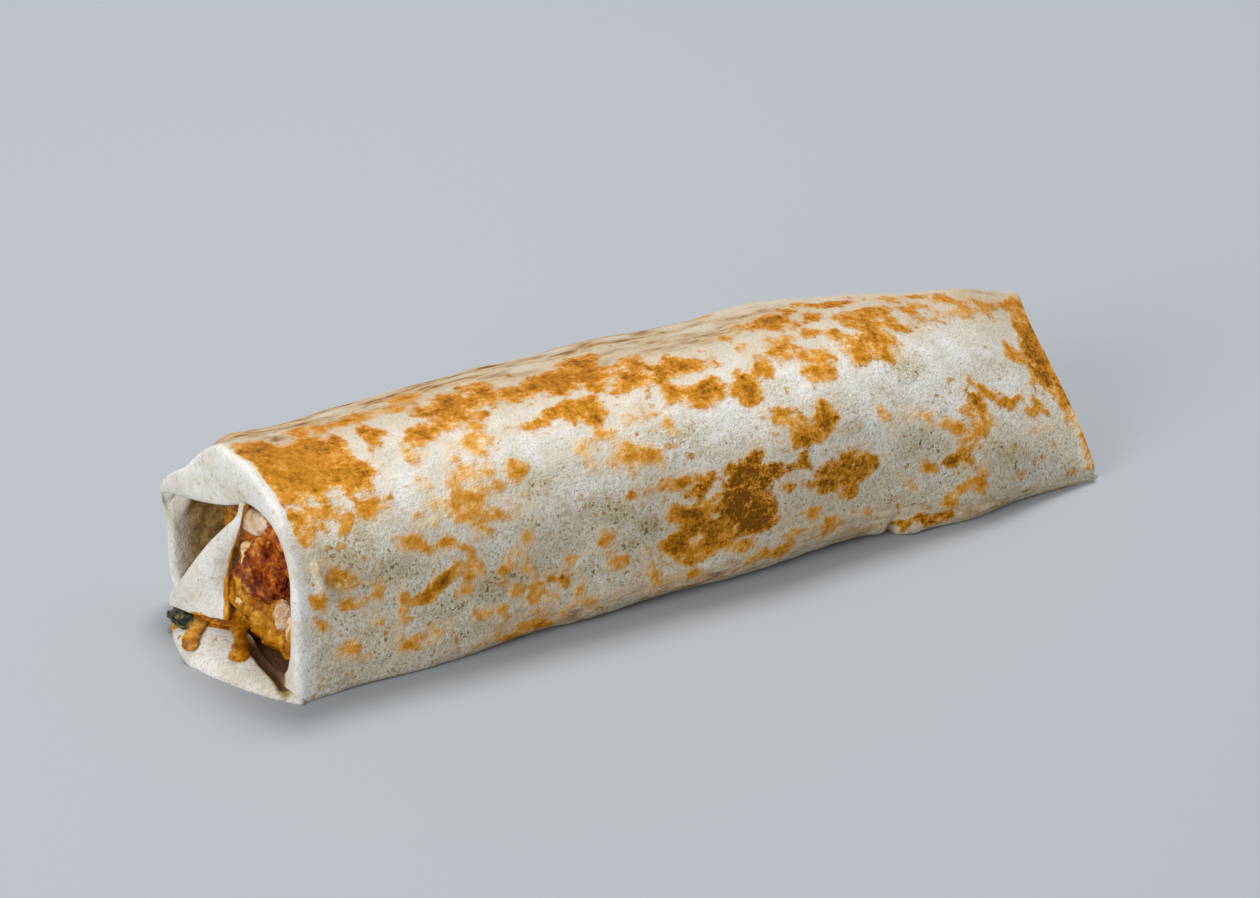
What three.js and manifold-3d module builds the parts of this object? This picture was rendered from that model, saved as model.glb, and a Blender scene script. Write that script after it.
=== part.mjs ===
// A grilled chicken wrap: a flour tortilla rolled round a sauced filling, shut at one end and folded
// in at the open one. Millimetres, +X along the roll, +Z up, resting on its flat underside.
import * as THREE from "three";
import { mergeVertices } from "three/addons/utils/BufferGeometryUtils.js";
import Module from "manifold-3d";

const wasm = await Module();
wasm.setup();

// Driving dimensions. Places are measured from the middle of the roll, with the underside at z = 0.
const openEnd = -118; // rim of the open end, at the front of the roll
const shutEnd = 122; // folded edge of the shut end
const rimSlant = 0.06; // how far the rim leans out towards the back, per mm of depth
const wall = 3.5; // the rolled layers, pressed together
const sheet = 2.2; // a single folded-in layer
const gap = 0.7; // clearance between the tortilla and what it holds
const sag = 1.5; // how far the round underside is pressed flat
const shutRecess = 5; // the tucked end lies this far inside its folded edge
const foldRound = 1.5; // roundness of the shut end's folded edge
const cornerTip = 1.4; // the two corners of the shut end stand out by this much
const squarest = 5; // inside, no corner of a section is squarer than this
const tail = 5; // how square the lower back is, all along
const facetsAround = 48;

// Sections of the roll: its front and back edges, its top, where its crown and its widest level
// are, and how square its other quarters are: the upper front, the upper back and the lower front
// (1 is a straight slope, 2 an ellipse, 20 a sharp corner).
const sections = [
  { at: -118, front: -30.2, back: 35, top: 56, crown: 6, waist: 24, shoulder: 2.5, spine: 1.45, heel: 40 },
  { at: -100, front: -30.8, back: 35, top: 53.8, crown: 3.5, waist: 24, shoulder: 2.3, spine: 2.1, heel: 17 },
  { at: -60, front: -32, back: 35, top: 55.2, crown: 2, waist: 24, shoulder: 2.2, spine: 2.3, heel: 8 },
  { at: -20, front: -33, back: 34.5, top: 54.8, crown: 2, waist: 23.5, shoulder: 2.1, spine: 2.3, heel: 5.6 },
  { at: 20, front: -33, back: 34, top: 53.8, crown: 2.5, waist: 22.5, shoulder: 2.1, spine: 2.3, heel: 4.9 },
  { at: 50, front: -31.5, back: 34, top: 53.6, crown: 3, waist: 20.5, shoulder: 2, spine: 2.3, heel: 3.8 },
  { at: 62, front: -32.5, back: 34, top: 51.6, crown: 4, waist: 18, shoulder: 1.9, spine: 2.2, heel: 6.6 },
  { at: 80, front: -33.5, back: 34, top: 48, crown: 6, waist: 14, shoulder: 1.75, spine: 2.1, heel: 10 },
  { at: 100, front: -32, back: 34, top: 43.4, crown: 9, waist: 9, shoulder: 1.5, spine: 1.9, heel: 8 },
  { at: 123, front: -30.5, back: 34, top: 37.3, crown: 12.5, waist: 3, shoulder: 1.15, spine: 1.5, heel: 12 },
];

// The section at any x: a smooth curve through the list, value by value.
function sectionAt(x) {
  const last = sections.length - 1;
  const held = THREE.MathUtils.clamp(x, sections[0].at, sections[last].at - 0.001);
  const i = sections.findIndex((s) => s.at > held) - 1;
  const span = sections[i + 1].at - sections[i].at;
  const t = (held - sections[i].at) / span;
  const slope = (k, key) => {
    const before = sections[Math.max(k - 1, 0)];
    const after = sections[Math.min(k + 1, last)];
    return ((after[key] - before[key]) / (after.at - before.at)) * span;
  };
  const eased = {};
  for (const key of Object.keys(sections[i])) {
    const rise = sections[i + 1][key] - sections[i][key];
    const start = slope(i, key) * t * (1 - t) * (1 - t);
    const end = slope(i + 1, key) * t * t * (t - 1);
    eased[key] = sections[i][key] + rise * t * t * (3 - 2 * t) + start + end;
  }
  return eased;
}

// The hand-rolled roll is a little uneven: soft swells of under a millimetre.
function swell(x, turn) {
  const slow = Math.sin(x / 19 + 2 * Math.sin(turn));
  const quick = Math.sin(x / 8.5 + 3 * turn) * Math.cos(x / 23 - turn);
  return 0.35 * slow + 0.3 * quick;
}

// A point of the section at x. Turn 0 is the back, a quarter turn the crown, half a turn the front,
// and the corners are at the eighths. inset moves it inwards, scale draws it towards the middle.
function rollPoint(x, turn, inset = 0, scale = 1) {
  const s = sectionAt(x);
  const c = Math.cos(turn);
  const h = Math.sin(turn);
  const halfDepth = (c > 0 ? s.back - s.crown : s.crown - s.front) - inset;
  const halfHeight = (h > 0 ? s.top - s.waist : s.waist + sag) - inset;
  const upper = c > 0 ? s.spine : s.shoulder;
  const lower = c > 0 ? tail : s.heel;
  const outside = h > 0 ? upper : lower;
  const power = inset > 0 ? Math.min(outside, squarest) : outside;
  const square = (Math.abs(c) ** power + Math.abs(h) ** power) ** (-1 / power);
  const across = new THREE.Vector2(halfDepth * c * square, halfHeight * h * square);
  if (inset === 0) across.setLength(across.length() + swell(x, turn));
  across.multiplyScalar(scale);
  return new THREE.Vector3(x, s.crown + across.x, Math.max(0, s.waist + across.y));
}

// Joins a geometry's doubled vertices, then moves each one by a function of its old place.
function reshape(geometry, place) {
  geometry.deleteAttribute("normal");
  geometry.deleteAttribute("uv");
  const joined = mergeVertices(geometry, 1e-5);
  const points = joined.getAttribute("position");
  for (let i = 0; i < points.count; i += 1) {
    const moved = place(new THREE.Vector3().fromBufferAttribute(points, i));
    points.setXYZ(i, moved.x, moved.y, moved.z);
  }
  return joined;
}

// Turns a closed geometry into a solid for joining and cutting, its faces outwards, and back.
function solidOf(geometry) {
  const vertProperties = geometry.getAttribute("position").array;
  const triVerts = new Uint32Array(geometry.index.array);
  const made = new wasm.Manifold(new wasm.Mesh({ numProp: 3, vertProperties, triVerts }));
  if (made.volume() > 0) return made;
  for (let i = 0; i < triVerts.length; i += 3) {
    [triVerts[i + 1], triVerts[i + 2]] = [triVerts[i + 2], triVerts[i + 1]];
  }
  return new wasm.Manifold(new wasm.Mesh({ numProp: 3, vertProperties, triVerts }));
}

function geometryOf(solid) {
  const mesh = solid.getMesh();
  const geometry = new THREE.BufferGeometry();
  geometry.setAttribute("position", new THREE.BufferAttribute(new Float32Array(mesh.vertProperties), 3));
  geometry.setIndex(new THREE.BufferAttribute(new Uint32Array(mesh.triVerts), 1));
  geometry.computeVertexNormals();
  return geometry;
}

// A long body of the roll's section: a sphere's rings become the face of the open end, the stations
// along the roll, and the face of the shut end.
function rollBody({ rings, faceRings, tuckRings, place }) {
  const ball = new THREE.SphereGeometry(1, facetsAround, rings);
  return reshape(ball, (v) => {
    const ring = Math.round((Math.acos(THREE.MathUtils.clamp(v.y, -1, 1)) / Math.PI) * rings);
    const turn = Math.atan2(v.z, v.x);
    const face = Math.min(1, ring / faceRings);
    const tuck = Math.min(1, (rings - ring) / tuckRings);
    const along = THREE.MathUtils.clamp((ring - faceRings) / (rings - faceRings - tuckRings), 0, 1);
    return place(turn, face, along, tuck);
  });
}

// The rim leans out towards the back of the roll.
function rimAt(y) {
  const front = sections[0].front;
  return openEnd - rimSlant * (y - front);
}

// The two corners of the shut end, where its fold sticks out: the heel and the crown.
function cornerAt(turn) {
  const near = (corner) => Math.exp(-(((turn - corner) / 0.2) ** 2));
  return cornerTip * (near(-0.75 * Math.PI) + near(0.5 * Math.PI));
}

function rollSolid() {
  const place = (turn, face, along, tuck) => {
    const start = rimAt(rollPoint(openEnd, turn).y);
    const end = shutEnd + cornerAt(turn);
    if (face < 1) return rollPoint(openEnd, turn, 0, 0).setX(start);
    if (tuck === 1) return rollPoint(THREE.MathUtils.lerp(start, end - foldRound, along), turn);
    const dish = shutRecess * (1 - tuck);
    const point = rollPoint(end, turn, 0, Math.min(0.97, tuck * 1.2));
    return point.setX(tuck > 0.7 ? end : shutEnd - dish);
  };
  return solidOf(rollBody({ rings: 37, faceRings: 1, tuckRings: 4, place }));
}

// The hollow of the roll, run out past the rim so that it opens the end.
function hollowSolid() {
  const overrun = 10;
  const end = shutEnd - shutRecess - wall;
  const place = (turn, face, along, tuck) => {
    const x = THREE.MathUtils.lerp(openEnd - overrun, end, along);
    return rollPoint(x, turn, wall, Math.min(face, tuck));
  };
  return solidOf(rollBody({ rings: 20, faceRings: 1, tuckRings: 1, place }));
}

// A folded-in layer: a slab spread between a left and a right edge curve, with a soft crown, and with
// its thickness laid behind the face that shows.
function layer({ left, right, crown, behind, thickness, across, up }) {
  const leftEdge = new THREE.CatmullRomCurve3(left.map((p) => new THREE.Vector3(...p)));
  const rightEdge = new THREE.CatmullRomCurve3(right.map((p) => new THREE.Vector3(...p)));
  const back = new THREE.Vector3(...behind).normalize();
  const slab = new THREE.BoxGeometry(1, 1, 1, across, up, 1);
  return solidOf(
    reshape(slab, (v) => {
      const s = v.x + 0.5;
      const t = v.y + 0.5;
      const point = leftEdge.getPoint(t).lerp(rightEdge.getPoint(t), s);
      const rise = crown * Math.sin(Math.PI * s) * Math.sin(Math.PI * Math.min(1, 1.1 * t));
      return point.addScaledVector(back, (0.5 - v.z) * thickness - rise);
    }),
  );
}

// The hood: the top and back of the outer layer, bent down over the upper part of the open end.
function hoodSolid() {
  const lip = [
    [-117.6, -2, 43.4],
    [-119.4, 6, 40.4],
    [-120.8, 14, 37.8],
    [-121.8, 22, 35.4],
    [-122.6, 30, 32.2],
    [-122.8, 34.6, 28.4],
  ];
  const shoulder = [0.57, 0.48, 0.38, 0.28, 0.17, 0.055].map((halfTurns) => {
    const edge = rollPoint(openEnd, halfTurns * Math.PI, 0.2);
    return [rimAt(edge.y) - 1, edge.y, edge.z];
  });
  const setting = { crown: 1, behind: [1, 0, -0.1], thickness: sheet, across: 6, up: 16 };
  return layer({ left: lip, right: shoulder, ...setting });
}

// The gusset: a three-cornered layer folded in across the lower back of the open end.
const foldLine = [
  [-128.6, 20.2, 6.8],
  [-128.4, 20, 9.5],
  [-127.4, 18, 13],
  [-124.6, 14, 20.6],
  [-122, 9.4, 28],
  [-119.8, 5, 33.6],
  [-118.4, 0.6, 38.6],
  [-118, -0.6, 43.5],
];
const slotEdge = [
  [-119.4, 6.4, 4.2],
  [-118.4, 7, 9.5],
  [-118, 7.8, 14],
  [-118, 7.2, 20.6],
  [-118, 5.8, 27],
  [-117.9, 3.4, 32.6],
  [-117.8, 0.6, 38],
  [-117.6, -2, 43],
];

function gussetSolid() {
  const setting = { crown: 1.5, behind: [0.8, 0.55, 0.1], thickness: 1.8, across: 8, up: 18 };
  return layer({ left: foldLine, right: slotEdge, ...setting });
}

// The shelf: the bottom layer sticks out of the open end as a rounded tongue.
const shelf = {
  centre: [-116.6, 1.6],
  reach: 16.2,
  halfWidth: 32.6,
  height: 5.4,
  rimHeight: 3.4,
  corner: 1.55,
  backEdge: 0.6,
};

function shelfSolid() {
  const dome = new THREE.SphereGeometry(1, 40, 14);
  return solidOf(
    reshape(dome, (v) => {
      const out = Math.min(1, Math.hypot(v.x, v.z));
      const turn = Math.atan2(v.z, v.x);
      const c = Math.cos(turn);
      const h = Math.sin(turn);
      const outline = (Math.abs(c) ** shelf.corner + Math.abs(h) ** shelf.corner) ** (-1 / shelf.corner);
      const x = shelf.centre[0] - c * outline * out * (c > 0 ? shelf.reach : shelf.backEdge);
      const y = shelf.centre[1] + h * outline * out * shelf.halfWidth;
      const top = THREE.MathUtils.lerp(shelf.height, shelf.rimHeight, out ** 2);
      const edge = (1 - out ** 6) ** 0.5;
      return new THREE.Vector3(x, y, v.y > 0 ? top * edge : 0);
    }),
  );
}

// A rounded lump, used for sauce and for pieces of the filling.
function lump({ centre, radii, turn = [0, 0, 0], grow = 0, rough = 0.08, facets = 14 }) {
  const sphere = new THREE.SphereGeometry(1, facets, Math.round(facets * 0.7));
  const ball = reshape(sphere, (v) => {
    const dent = Math.sin(5.1 * v.x + 2) * Math.sin(4.3 * v.y + 1) + 0.6 * Math.sin(7.7 * v.z + 4 * v.x);
    v.multiplyScalar(1 + rough * dent).multiply(new THREE.Vector3(...radii));
    return v.setLength(v.length() + grow);
  });
  const place = new THREE.Matrix4().makeRotationFromEuler(new THREE.Euler(...turn));
  place.setPosition(...centre);
  return solidOf(ball.applyMatrix4(place));
}

// Thick sauce that ran out from under the gusset and over the shelf.
const sauceRuns = [
  { centre: [-129.6, 5.8, 3.8], radii: [4.6, 2.6, 1.6], turn: [0, 0, 0.8] },
  { centre: [-121.4, 6.6, 6], radii: [3, 5.6, 2], turn: [0, 0, 0.2] },
  { centre: [-121.8, -5, 4.9], radii: [2.8, 6.4, 1.7], turn: [0, 0, -0.41] },
];

// What stands out of the filling's face.
const pieces = {
  chicken_strip: { centre: [-112.4, -7.6, 25], radii: [4.8, 14.6, 8.8], turn: [-0.5, 0, 0], facets: 18 },
  chicken_tip: { centre: [-112.8, -3.6, 37.6], radii: [3.6, 6.2, 3.4], turn: [-0.4, 0, 0], facets: 14 },
  chicken_shred: { centre: [-113.2, -15.6, 15.2], radii: [3.2, 3.4, 5.4], turn: [0.1, 0, 0], facets: 14 },
};

// The filling's face at the open end: nearly level with the rim at the front, deeper at the back.
function fillingFace(y, z) {
  const slope = 0.62 * Math.max(0, y - 9);
  const bumps = 0.4 * Math.sin(y / 3.1 + z / 4.7) + 0.3 * Math.sin(z / 2.9 - y / 5.3);
  return openEnd + 3.2 + slope + bumps;
}

function fillingSolid() {
  const inset = wall + gap;
  const end = shutEnd - shutRecess - wall - gap;
  const place = (turn, face, along, tuck) => {
    const edge = rollPoint(openEnd, turn, inset);
    const start = fillingFace(edge.y, edge.z) + 1.6;
    const x = THREE.MathUtils.lerp(start, end, along);
    const point = rollPoint(x, turn, inset, Math.min(face, tuck));
    if (face < 1) point.x = fillingFace(point.y, point.z);
    return point;
  };
  let filling = solidOf(rollBody({ rings: 23, faceRings: 8, tuckRings: 1, place }));
  for (const piece of Object.values(pieces)) filling = filling.subtract(lump({ ...piece, grow: gap }));
  return filling;
}

// A salad leaf between the gusset and the shelf: a thin wavy sheet.
const leaf = { centre: [-125, 15.6, 4.9], length: 13, width: 7.5, thickness: 0.7, tilt: -0.24 };

function leafSolid(grow = 0) {
  const slab = new THREE.BoxGeometry(1, 1, 1, 12, 6, 1);
  return solidOf(
    reshape(slab, (v) => {
      const taper = Math.sqrt(1 - 0.85 * (2 * v.x) ** 2);
      const wave = 0.5 * Math.sin(7 * v.x) + 0.3 * Math.sin(9 * v.y + 2 * v.x);
      const across = v.y * (leaf.width * taper + 2 * grow);
      return new THREE.Vector3(
        leaf.centre[0] + across,
        leaf.centre[1] + v.x * (leaf.length + 2 * grow),
        leaf.centre[2] + wave - leaf.tilt * across + v.z * (leaf.thickness + 2 * grow),
      );
    }),
  );
}

function tortillaSolid() {
  let tortilla = rollSolid().subtract(hollowSolid());
  for (const flap of [hoodSolid(), gussetSolid(), shelfSolid()]) tortilla = tortilla.add(flap);
  for (const run of sauceRuns) tortilla = tortilla.add(lump(run));
  return tortilla.subtract(leafSolid(gap));
}

const looks = {
  tortilla: { color: "#dcd5c6", roughness: 0.7 },
  filling: { color: "#c9801f", roughness: 0.45 },
  chicken_strip: { color: "#9a3f14", roughness: 0.5 },
  chicken_tip: { color: "#e0c3b4", roughness: 0.5 },
  chicken_shred: { color: "#e3cda6", roughness: 0.5 },
  leaf: { color: "#2c3318", roughness: 0.5 },
};

const tortilla = tortillaSolid();
const solids = { tortilla, filling: fillingSolid(), leaf: leafSolid() };
for (const [name, piece] of Object.entries(pieces)) solids[name] = lump(piece);
solids.chicken_strip = solids.chicken_strip.subtract(lump({ ...pieces.chicken_shred, grow: gap }));

const wrap = new THREE.Group();
for (const [name, solid] of Object.entries(solids)) {
  const mesh = new THREE.Mesh(geometryOf(solid), new THREE.MeshStandardMaterial(looks[name]));
  mesh.name = name;
  wrap.add(mesh);
}

// The origin is under the middle of the whole wrap.
const box = new THREE.Box3().setFromObject(wrap);
const middle = box.getCenter(new THREE.Vector3());
wrap.position.set(-middle.x, -middle.y, -box.min.z);

export default wrap;
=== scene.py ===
import math
import bmesh
import bpy
import numpy as np
from mathutils import Euler, Matrix, Vector, noise


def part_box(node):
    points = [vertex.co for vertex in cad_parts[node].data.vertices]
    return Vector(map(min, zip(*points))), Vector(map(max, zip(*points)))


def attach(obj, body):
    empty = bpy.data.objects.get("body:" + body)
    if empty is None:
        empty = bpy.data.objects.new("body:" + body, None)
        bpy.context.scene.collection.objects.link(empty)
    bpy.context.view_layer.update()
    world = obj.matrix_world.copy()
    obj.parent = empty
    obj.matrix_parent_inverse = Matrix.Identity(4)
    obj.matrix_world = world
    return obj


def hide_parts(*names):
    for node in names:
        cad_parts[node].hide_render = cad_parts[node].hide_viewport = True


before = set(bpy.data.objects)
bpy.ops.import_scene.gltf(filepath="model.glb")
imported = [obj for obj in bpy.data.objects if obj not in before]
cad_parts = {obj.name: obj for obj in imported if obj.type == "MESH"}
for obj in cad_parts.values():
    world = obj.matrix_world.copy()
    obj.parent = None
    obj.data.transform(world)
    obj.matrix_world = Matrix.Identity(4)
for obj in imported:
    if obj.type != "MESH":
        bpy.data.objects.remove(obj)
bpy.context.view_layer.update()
scene = bpy.context.scene
scene.view_settings.view_transform = "Standard"
print("frame loaded")

# Shapes are worked out in mm from the middle of the roll. The leaf's solid gives where that middle is.
leafPlan = {
    "centre": Vector((-125, 15.6, 4.9)),
    "length": 13,
    "width": 7.5,
    "thickness": 0.7,
    "tilt": -0.24,
    "outwards": 0.7,
}
leafLow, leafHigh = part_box("leaf")
rollMiddle = (leafLow + leafHigh) * 500 - leafPlan["centre"]
rollMiddle.z = 0


def inFrame(point):  # mm from the roll's middle to metres in the frame
    return (point + rollMiddle) * 0.001


# camera: the photo's own view of the wrap
cameraPlan = {
    "at": Vector((-595.4, -982, 621.7)),
    "looksAt": Vector((-5.3, 0, 28.4)),
    "lean": 0.564,
    "lens": 142.6,
}


def addCamera():
    data = bpy.data.cameras.new("photoCamera")
    data.sensor_width = 36
    data.lens = cameraPlan["lens"]
    data.clip_end = 20
    camera = bpy.data.objects.new("photoCamera", data)
    scene.collection.objects.link(camera)
    gaze = cameraPlan["looksAt"] - cameraPlan["at"]
    turned = gaze.to_track_quat("-Z", "Y").to_matrix().to_4x4()
    lean = Matrix.Rotation(math.radians(cameraPlan["lean"]), 4, "Z")
    camera.matrix_world = Matrix.Translation(inFrame(cameraPlan["at"])) @ turned @ lean
    scene.camera = camera


addCamera()
print("camera set")


# materials
def linear(hexColour):  # sRGB hex to the linear values that Blender mixes
    parts = [int(hexColour[i : i + 2], 16) / 255 for i in (1, 3, 5)]
    return tuple(c / 12.92 if c <= 0.04045 else ((c + 0.055) / 1.055) ** 2.4 for c in parts) + (1,)


def wire(tree, node, sockets):  # a socket takes a link, a number or a hex colour
    for key, value in sockets.items():
        if isinstance(value, bpy.types.NodeSocket):
            tree.links.new(value, node.inputs[key])
        else:
            node.inputs[key].default_value = linear(value) if isinstance(value, str) else value


def add(tree, kind, sockets, stops=(), **settings):  # one node with its settings; a ramp takes its stops
    node = tree.nodes.new("ShaderNode" + kind)
    for name, value in settings.items():
        setattr(node, name, value)
    wire(tree, node, sockets)
    for at, colour in stops:
        node.color_ramp.elements.new(at).color = linear(colour)
    if stops:
        node.color_ramp.elements.remove(node.color_ramp.elements[0])
        node.color_ramp.elements.remove(node.color_ramp.elements[-1])
    return next(output for output in node.outputs if output.enabled)


def newMaterial(name):
    material = bpy.data.materials.new(name)
    material.use_nodes = True
    tree = material.node_tree
    tree.nodes.clear()
    shader = tree.nodes.new("ShaderNodeBsdfPrincipled")
    output = tree.nodes.new("ShaderNodeOutputMaterial")
    tree.links.new(shader.outputs["BSDF"], output.inputs["Surface"])
    place = add(tree, "TexCoord", {}).node.outputs["Object"]
    return material, tree, shader, place


gently = {"interpolation_type": "SMOOTHSTEP"}
moistDepth = {"Subsurface Radius": (0.004, 0.002, 0.001)}  # how far light goes in, in metres


# Baked flour tortilla, toasted on a plate: matte and chalky, off-white with greyish moist mottling and dark
# flecks, and golden, slightly raised browning where its blisters touched the metal.
def tortillaMaterial():
    material, tree, shader, place = newMaterial("tortillaToasted")
    drawn = add(tree, "Mapping", {"Vector": place, "Scale": (0.22, 1, 1)})  # stretched along the roll
    grains = [  # size in mm, detail and roughness
        (place, 11, 3, 0.5),
        (place, 5.2, 2, 0.5),
        (place, 2.4, 5, 0.7),
        (place, 1.3, 3, 0.6),
        (place, 0.7, 2, 0.7),
        (drawn, 1.7, 4, 0.65),
    ]
    cloudy, lobed, moist, spots, fine, streak = (
        add(tree, "TexNoise", {"Vector": way, "Scale": 1000 / size, "Detail": detail, "Roughness": uneven})
        for way, size, detail, uneven in grains
    )
    mottle, creased, upperBackShade, tone, browned, sauced, soakAndShade = (
        add(tree, "Attribute", {}, attribute_name=name).node.outputs["Fac"]
        for name in ("mottle", "creased", "upperBackShade", "tone", "browned", "sauced", "soakAndShade")
    )

    # chalky base, speckled, and with painted shade over the upper back
    shade = add(tree, "Math", {0: cloudy, 1: moist}, operation="ADD")
    shade = add(tree, "Math", {0: shade, 1: 0.5}, operation="MULTIPLY")
    chalk = [(0.41, "#D0C9B9"), (0.48, "#DAD6CC"), (0.54, "#E2E0DA"), (0.6, "#E8E7E4")]
    base = add(tree, "ValToRGB", {"Fac": shade}, chalk)
    warm = add(tree, "Math", {0: mottle, 1: 0.5}, operation="MULTIPLY")
    # the second mix is painted shade: a greyer beige over the upper back
    for share, tint in ((warm, "#D3C7A8"), (upperBackShade, "#D6CDBB")):
        base = add(tree, "Mix", {0: share, 6: base, 7: tint}, data_type="RGBA")
    speckle = add(tree, "ValToRGB", {"Fac": fine}, [(0.36, "#BBAF94"), (0.5, "#FFFFFF")])
    rough = add(tree, "MapRange", {0: mottle, 2: 0.6, 3: 0.2, 4: 0.9})
    base = add(tree, "Mix", {0: rough, 6: base, 7: speckle}, data_type="RGBA", blend_type="MULTIPLY")

    # beige and greenish grey mottles where the layers lie close
    damp = add(tree, "Math", {0: mottle, 1: 0.22, 2: moist}, operation="MULTIPLY_ADD")
    damp = add(tree, "MapRange", {0: damp, 1: 0.54, 2: 0.74}, **gently)
    damp = add(tree, "Math", {0: damp, 1: 0.75}, operation="MULTIPLY")
    beige = add(tree, "ValToRGB", {"Fac": spots}, [(0.32, "#9C885E"), (0.5, "#BEAF8E"), (0.66, "#D8CFBC")])
    base = add(tree, "Mix", {0: damp, 6: base, 7: beige}, data_type="RGBA")
    flecked = add(tree, "Math", {0: mottle, 1: 0.17, 2: spots}, operation="MULTIPLY_ADD")
    umber = [(0.71, "#B8A57C"), (0.78, "#8A7246"), (0.84, "#544228")]
    flecks = add(tree, "ValToRGB", {"Fac": flecked}, umber)
    flecked = add(tree, "MapRange", {0: flecked, 1: 0.7, 2: 0.76, 4: 0.9}, **gently)
    base = add(tree, "Mix", {0: flecked, 6: base, 7: flecks}, data_type="RGBA")

    # dry wrinkles with brown lines in them, drawn out along the roll
    lines = [(0.37, "#7A4812"), (0.43, "#A87A3C"), (0.49, "#BCA078"), (0.56, "#CDBB9E")]
    wrinkled = add(tree, "ValToRGB", {"Fac": streak}, lines)
    base = add(tree, "Mix", {0: creased, 6: base, 7: wrinkled}, data_type="RGBA")

    # freckles: small irregular toasted spots, mostly over the mottled front
    dots = add(tree, "TexNoise", {"Vector": place, "Scale": 1000 / 3.4, "Detail": 3, "Roughness": 0.5})
    dots = add(tree, "Math", {0: mottle, 1: 0.07, 2: dots}, operation="MULTIPLY_ADD")
    freckle = add(tree, "MapRange", {0: dots, 1: 0.66, 2: 0.73, 4: 0.85}, **gently)
    gold = add(tree, "ValToRGB", {"Fac": spots}, [(0.35, "#A06418"), (0.5, "#C48C38"), (0.65, "#D8B070")])
    base = add(tree, "Mix", {0: freckle, 6: base, 7: gold}, data_type="RGBA")

    # browned patches: the mesh carries how far inside a patch a point is, in mm over 12
    edge = add(tree, "Math", {0: browned, 1: 12, 2: -6}, operation="MULTIPLY_ADD")
    for ragged, share in ((lobed, 7), (moist, 3.2), (streak, 2.5), (fine, 0.6)):
        edge = add(tree, "Math", {0: ragged, 1: share, 2: edge}, operation="MULTIPLY_ADD")
    edge = add(tree, "Math", {0: edge, 1: 6.65}, operation="SUBTRACT")
    halo = add(tree, "MapRange", {0: edge, 1: -2.4, 2: 0, 4: 0.45}, **gently)
    base = add(tree, "Mix", {0: halo, 6: base, 7: "#E2C49C"}, data_type="RGBA")
    sharp = add(tree, "MapRange", {0: tone, 1: 0.2, 2: 0.5, 3: 0.35, 4: 1})
    edge = add(tree, "Math", {0: edge, 1: sharp}, operation="MULTIPLY")
    depth = add(tree, "MapRange", {0: edge, 1: 0, 2: 3, 4: 0.34}, **gently)
    for uneven, share in ((tone, 0.75), (moist, 0.55), (streak, 0.4), (lobed, 1)):
        depth = add(tree, "Math", {0: uneven, 1: share, 2: depth}, operation="MULTIPLY_ADD")
    grain = add(tree, "Math", {0: fine, 1: 1.2, 2: -1.1}, operation="MULTIPLY_ADD")
    grain = add(tree, "Math", {0: spots, 1: 1, 2: grain}, operation="MULTIPLY_ADD")
    coarse = add(tree, "MapRange", {0: tone, 1: 0.35, 2: 0.85, 3: 0.22, 4: 1.5})
    depth = add(tree, "Math", {0: grain, 1: coarse, 2: depth}, operation="MULTIPLY_ADD")

    # paler seams between the blisters
    blister = {"Vector": place, "Scale": 1000 / 8, "Detail": 2.5, "Roughness": 0.5, "Distortion": 0.8}
    blister = add(tree, "TexNoise", blister)
    seams = add(tree, "Math", {0: blister, 1: 0.5}, operation="SUBTRACT")
    seams = add(tree, "Math", {0: seams}, operation="ABSOLUTE")
    seams = add(tree, "MapRange", {0: seams, 1: 0, 2: 0.03, 3: 0.1, 4: 0}, **gently)
    for less in (seams, 1.05):
        depth = add(tree, "Math", {0: depth, 1: less}, operation="SUBTRACT")
    toast = [(0, "#E8CFA6"), (0.16, "#E2B06C"), (0.32, "#D69A46")]
    toast += [(0.5, "#CA8520"), (0.7, "#B2740E"), (0.95, "#784804")]
    brown = add(tree, "ValToRGB", {"Fac": depth}, toast)
    cover = add(tree, "MapRange", {0: edge, 1: -0.5, 2: 0.8}, **gently)
    colour = add(tree, "Mix", {0: cover, 6: base, 7: brown}, data_type="RGBA")
    # painted shade over the upper back, darkening the colour once more
    upperBackShaded = {0: upperBackShade, 6: colour, 7: "#DED5C6"}
    colour = add(tree, "Mix", upperBackShaded, data_type="RGBA", blend_type="MULTIPLY")

    # dark pinholes, more of them in the mottles
    pits = add(tree, "TexVoronoi", {"Vector": place, "Scale": 1000 / 2.8})
    reach = add(tree, "MapRange", {0: moist, 1: 0.47, 2: 0.68, 4: 0.14})
    pit = add(tree, "Math", {0: pits, 1: reach}, operation="LESS_THAN")
    pit = add(tree, "Math", {0: pit, 1: 0.8}, operation="MULTIPLY")
    colour = add(tree, "Mix", {0: pit, 6: colour, 7: "#43331F"}, data_type="RGBA")

    # where juice has soaked in, and where sauce has smeared over the edges; above a soak of 1, dark brown
    # that is sauce stain and painted shade of the gap under the filling
    juice = add(tree, "ValToRGB", {"Fac": moist}, [(0.35, "#63501F"), (0.5, "#9A7E40"), (0.65, "#C2A76C")])
    pooledAndShaded = add(tree, "MapRange", {0: soakAndShade, 1: 1, 2: 1.8, 4: 0.9})
    juice = add(tree, "Mix", {0: pooledAndShaded, 6: juice, 7: "#55300C"}, data_type="RGBA")
    soakAndShade = add(tree, "Math", {0: cloudy, 1: 0.5, 2: soakAndShade}, operation="MULTIPLY_ADD")
    soakAndShade = add(tree, "MapRange", {0: soakAndShade, 1: 0.35, 2: 1, 4: 0.95})
    sauce = add(tree, "ValToRGB", {"Fac": moist}, [(0.35, "#9A5208"), (0.5, "#C98016"), (0.64, "#E0AC4A")])
    sauced = add(tree, "Math", {0: moist, 1: 0.9, 2: sauced}, operation="MULTIPLY_ADD")
    sauced = add(tree, "MapRange", {0: sauced, 1: 0.72, 2: 1}, **gently)
    for share, wet in ((soakAndShade, juice), (sauced, sauce)):
        colour = add(tree, "Mix", {0: share, 6: colour, 7: wet}, data_type="RGBA")

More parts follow.
